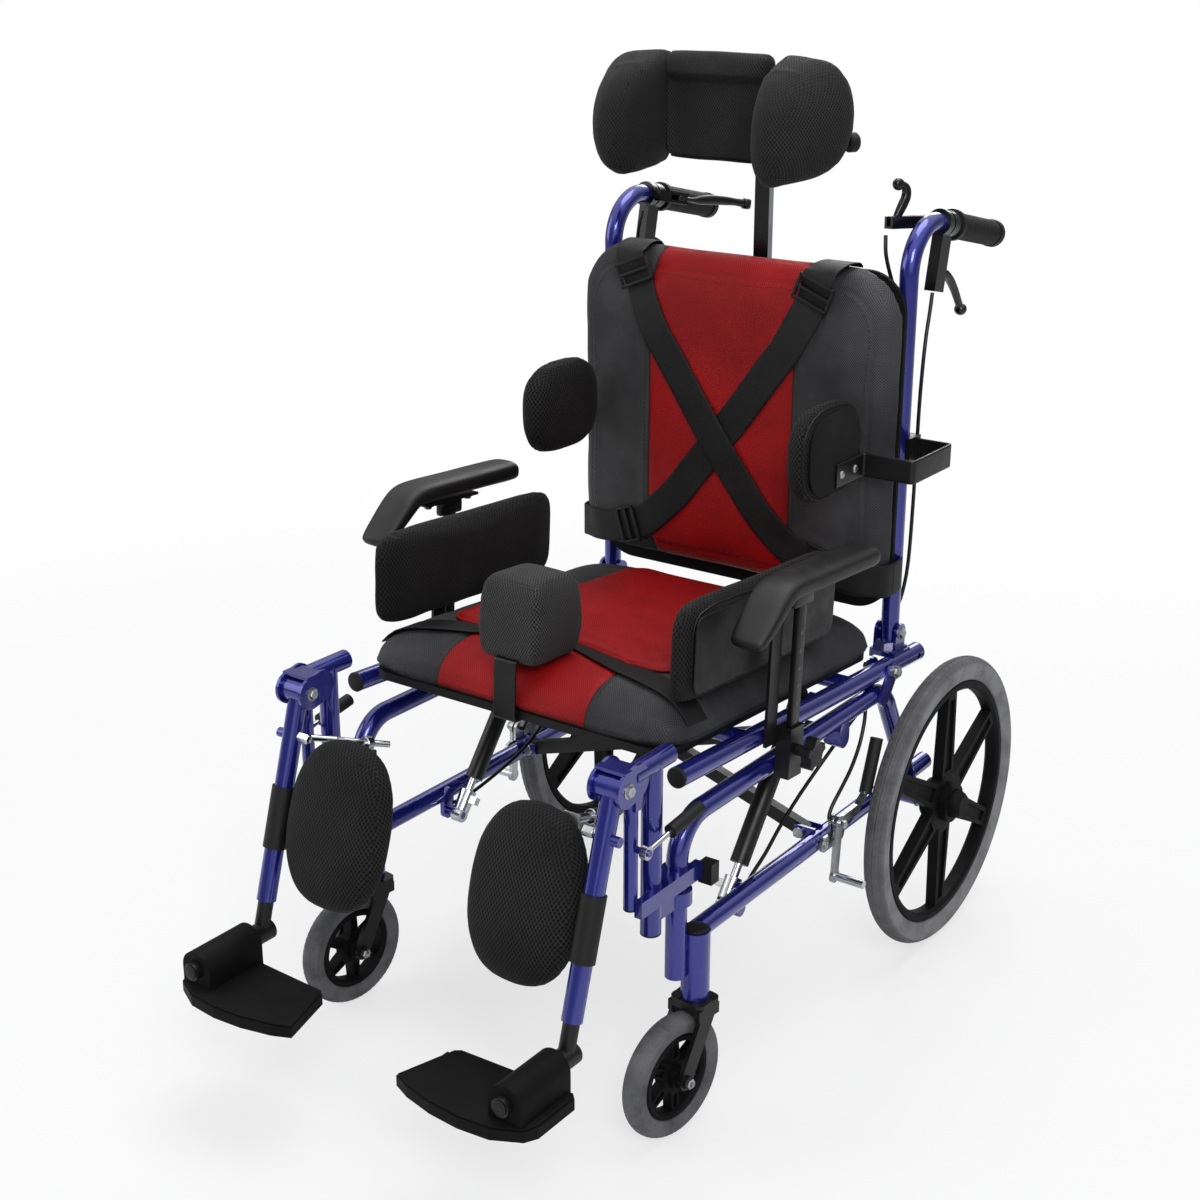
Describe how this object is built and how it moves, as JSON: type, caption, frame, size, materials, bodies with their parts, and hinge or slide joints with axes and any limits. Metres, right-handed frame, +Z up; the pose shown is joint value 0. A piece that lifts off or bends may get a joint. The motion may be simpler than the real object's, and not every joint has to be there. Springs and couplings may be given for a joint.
{
  "type": "tilt in space wheelchair",
  "caption": "Manual tilt-in-space wheelchair with reclining back, contoured headrest, shoulder harness, elevating swing-away leg rests and two-colour padded seat.",
  "frame": {"origin": "on the floor, in the middle of the footprint box", "axes": "+Z up, the chair faces -Y, +X is the left hand of the sitter"},
  "size_m": [0.6406, 1.122, 1.201],
  "materials": {
    "frame_blue": "metallic gloss",
    "black_metal": "satin",
    "chrome": "polished",
    "black_plastic": "matte",
    "grip_rubber": "matte",
    "arm_foam": "satin",
    "grey_fabric": "woven",
    "black_fabric": "spacer mesh",
    "webbing": "woven",
    "rear_tyre": "matte",
    "caster_tyre": "matte"
  },
  "bodies": {
    "base": {"side_frame_left": "frame_blue", "side_frame_right": "frame_blue", "cross_brace": "black_metal", "tilt_bolts": "chrome", "lock_plates": "chrome", "rear_axles": "chrome", "base_cables": "black_plastic", "caster_caps": "black_plastic"},
    "seat": {"seat_rails": "frame_blue", "seat_board": "black_plastic", "seat_cushion": "grey_fabric", "hip_pads": "black_fabric", "arm_sockets": "black_metal", "lap_belt": "webbing"},
    "pommel": {"pommel": "grey_fabric"},
    "back": {"back_tubes": "frame_blue", "back_board": "black_plastic", "back_cushion": "grey_fabric", "back_crossbars": "black_metal", "harness": "webbing", "back_cables": "black_plastic", "handle_fittings": "grip_rubber"},
    "head_post": {"headrest_post": "chrome"},
    "head_pad": {"headrest_pad": "black_fabric"},
    "gas_rods": {"gas_rods": "chrome"},
    "gas_cylinders": {"gas_cylinders": "black_metal"},
    "rear_wheel_left": {"rear_rim_left": "black_plastic", "rear_tyre_left": "rear_tyre"},
    "caster_fork_left": {"caster_fork_left": "black_metal"},
    "caster_wheel_left": {"caster_rim_left": "black_plastic", "caster_tyre_left": "caster_tyre"},
    "lock_lever_left": {"lock_lever_left": "chrome"},
    "armrest_left": {"armrest_left": "arm_foam"},
    "lateral_support_left": {"lateral_support_left": "black_fabric"},
    "headrest_wing_left": {"headrest_wing_left": "black_fabric"},
    "brake_lever_left": {"brake_lever_left": "black_plastic"},
    "release_lever_left": {"release_lever_left": "black_plastic"},
    "hanger_left": {"hanger_left": "frame_blue"},
    "leg_left": {"leg_tube_left": "frame_blue", "calf_pad_left": "black_fabric"},
    "foot_tube_left": {"foot_tube_left": "black_metal"},
    "footplate_left": {"footplate_left": "black_plastic"},
    "leg_lever_left": {"leg_lever_left": "chrome"},
    "rear_wheel_right": {"rear_rim_right": "black_plastic", "rear_tyre_right": "rear_tyre"},
    "caster_fork_right": {"caster_fork_right": "black_metal"},
    "caster_wheel_right": {"caster_rim_right": "black_plastic", "caster_tyre_right": "caster_tyre"},
    "lock_lever_right": {"lock_lever_right": "chrome"},
    "armrest_right": {"armrest_right": "arm_foam"},
    "lateral_support_right": {"lateral_support_right": "black_fabric"},
    "headrest_wing_right": {"headrest_wing_right": "black_fabric"},
    "brake_lever_right": {"brake_lever_right": "black_plastic"},
    "release_lever_right": {"release_lever_right": "black_plastic"},
    "hanger_right": {"hanger_right": "frame_blue"},
    "leg_right": {"leg_tube_right": "frame_blue", "calf_pad_right": "black_fabric"},
    "foot_tube_right": {"foot_tube_right": "black_metal"},
    "footplate_right": {"footplate_right": "black_plastic"},
    "leg_lever_right": {"leg_lever_right": "chrome"}
  },
  "joints": [
    {"name": "tilt", "type": "hinge", "parent": "base", "child": "seat", "pos_m": [0, 0.25, 0.4215], "axis": [-1, 0, 0], "range_deg": [0, 30]},
    {"name": "recline", "type": "hinge", "parent": "seat", "child": "back", "pos_m": [0, 0.29524, 0.45788], "axis": [-1, 0, 0], "range_deg": [0, 50]},
    {"name": "rear_roll_left", "type": "hinge", "parent": "base", "child": "rear_wheel_left", "pos_m": [0.286, 0.358, 0.203], "axis": [1, 0, 0], "continuous": true},
    {"name": "caster_swivel_left", "type": "hinge", "parent": "base", "child": "caster_fork_left", "pos_m": [0.252, -0.211, 0.2], "axis": [0, 0, 1], "continuous": true},
    {"name": "caster_roll_left", "type": "hinge", "parent": "caster_fork_left", "child": "caster_wheel_left", "pos_m": [0.247, -0.25169, 0.077], "axis": [0.9925, -0.1219, 0], "continuous": true},
    {"name": "wheel_lock_left", "type": "hinge", "parent": "base", "child": "lock_lever_left", "pos_m": [0.262, 0.106, 0.262], "axis": [1, 0, 0], "range_deg": [0, 39]},
    {"name": "arm_height_left", "type": "slide", "parent": "seat", "child": "armrest_left", "axis": [0, 0.0593, 0.9982], "range_m": [0, 0.05]},
    {"name": "lateral_slide_left", "type": "slide", "parent": "back", "child": "lateral_support_left", "axis": [-1, 0, 0], "range_m": [0, 0.042]},
    {"name": "wing_left", "type": "hinge", "parent": "head_pad", "child": "headrest_wing_left", "pos_m": [0.063, 0.23524, 1.128], "axis": [0, 0, 1], "range_deg": [0, 20]},
    {"name": "brake_lever_left", "type": "hinge", "parent": "back", "child": "brake_lever_left", "pos_m": [0.225, 0.37284, 0.92426], "axis": [1, 0, 0], "range_deg": [0, 14], "stiffness_Nm_per_rad": 1, "springref_deg": -8.59},
    {"name": "hanger_swing_left", "type": "hinge", "parent": "base", "child": "hanger_left", "pos_m": [0.24, -0.235, 0.478], "axis": [0, 0, 1], "range_deg": [0, 90]},
    {"name": "leg_elevate_left", "type": "hinge", "parent": "hanger_left", "child": "leg_left", "pos_m": [0.23, -0.346, 0.478], "axis": [-1, 0, 0], "range_deg": [0, 70]},
    {"name": "foot_extend_left", "type": "slide", "parent": "leg_left", "child": "foot_tube_left", "axis": [0, -0.2924, -0.9563], "range_m": [-0.02, 0.08]},
    {"name": "footplate_flip_left", "type": "hinge", "parent": "foot_tube_left", "child": "footplate_left", "pos_m": [0.23, -0.5, 0.18996], "axis": [0, 1, 0], "range_deg": [0, 90]},
    {"name": "leg_lever_left", "type": "hinge", "parent": "hanger_left", "child": "leg_lever_left", "pos_m": [0.26, -0.327, 0.401], "axis": [1, 0, 0], "range_deg": [0, 15], "stiffness_Nm_per_rad": 1, "springref_deg": -8.59},
    {"name": "rear_roll_right", "type": "hinge", "parent": "base", "child": "rear_wheel_right", "pos_m": [-0.286, 0.358, 0.203], "axis": [1, 0, 0], "continuous": true},
    {"name": "caster_swivel_right", "type": "hinge", "parent": "base", "child": "caster_fork_right", "pos_m": [-0.252, -0.211, 0.2], "axis": [0, 0, 1], "continuous": true},
    {"name": "caster_roll_right", "type": "hinge", "parent": "caster_fork_right", "child": "caster_wheel_right", "pos_m": [-0.257, -0.25169, 0.077], "axis": [0.9925, -0.1219, 0], "continuous": true},
    {"name": "wheel_lock_right", "type": "hinge", "parent": "base", "child": "lock_lever_right", "pos_m": [-0.262, 0.106, 0.262], "axis": [1, 0, 0], "range_deg": [0, 39]},
    {"name": "arm_height_right", "type": "slide", "parent": "seat", "child": "armrest_right", "axis": [0, 0.0593, 0.9982], "range_m": [-0.015, 0.035]},
    {"name": "lateral_slide_right", "type": "slide", "parent": "back", "child": "lateral_support_right", "axis": [1, 0, 0], "range_m": [0, 0.042]},
    {"name": "wing_right", "type": "hinge", "parent": "head_pad", "child": "headrest_wing_right", "pos_m": [-0.063, 0.23524, 1.128], "axis": [0, 0, -1], "range_deg": [0, 20]},
    {"name": "brake_lever_right", "type": "hinge", "parent": "back", "child": "brake_lever_right", "pos_m": [-0.225, 0.37284, 0.92426], "axis": [1, 0, 0], "range_deg": [0, 14], "stiffness_Nm_per_rad": 1, "springref_deg": -8.59},
    {"name": "hanger_swing_right", "type": "hinge", "parent": "base", "child": "hanger_right", "pos_m": [-0.24, -0.235, 0.478], "axis": [0, 0, -1], "range_deg": [0, 90]},
    {"name": "leg_elevate_right", "type": "hinge", "parent": "hanger_right", "child": "leg_right", "pos_m": [-0.23, -0.346, 0.478], "axis": [-1, 0, 0], "range_deg": [0, 70]},
    {"name": "foot_extend_right", "type": "slide", "parent": "leg_right", "child": "foot_tube_right", "axis": [0, -0.2924, -0.9563], "range_m": [-0.02, 0.08]},
    {"name": "footplate_flip_right", "type": "hinge", "parent": "foot_tube_right", "child": "footplate_right", "pos_m": [-0.23, -0.5, 0.18996], "axis": [0, -1, 0], "range_deg": [0, 90]},
    {"name": "leg_lever_right", "type": "hinge", "parent": "hanger_right", "child": "leg_lever_right", "pos_m": [-0.26, -0.327, 0.401], "axis": [1, 0, 0], "range_deg": [0, 15], "stiffness_Nm_per_rad": 1, "springref_deg": -8.59},
    {"name": "release_lever_left", "type": "hinge", "parent": "back", "child": "release_lever_left", "pos_m": [0.18629, 0.32686, 0.99], "axis": [-0.9397, 0.3345, -0.0711], "range_deg": [0, 14], "stiffness_Nm_per_rad": 1, "springref_deg": -8.59},
    {"name": "release_lever_right", "type": "hinge", "parent": "back", "child": "release_lever_right", "pos_m": [-0.19049, 0.40612, 0.97852], "axis": [0, 0.2079, 0.9781], "range_deg": [0, 8], "stiffness_Nm_per_rad": 1, "springref_deg": -8.59},
    {"name": "pommel_slide", "type": "slide", "parent": "seat", "child": "pommel", "axis": [0, -0.9982, 0.0593], "range_m": [0, 0.06]},
    {"name": "head_height", "type": "slide", "parent": "back", "child": "head_post", "axis": [0, 0, 1], "range_m": [-0.03, 0.08]},
    {"name": "head_tilt", "type": "hinge", "parent": "head_post", "child": "head_pad", "pos_m": [0, 0.31624, 1.114], "axis": [1, 0, 0], "range_deg": [-20, 20]},
    {"name": "gas_rod_turn", "type": "hinge", "parent": "base", "child": "gas_rods", "pos_m": [0, -0.082, 0.214], "axis": [1, 0, 0], "range_deg": [0, 4.77]},
    {"name": "gas_stroke", "type": "slide", "parent": "gas_rods", "child": "gas_cylinders", "axis": [0, 0.6167, 0.7872], "range_m": [0, 0.0807]}
  ],
  "couplings": [
    {"joint": "gas_rod_turn", "follows": "tilt", "ratio": 0.15227},
    {"joint": "gas_stroke", "follows": "tilt", "m_per_rad": 0.15318}
  ]
}
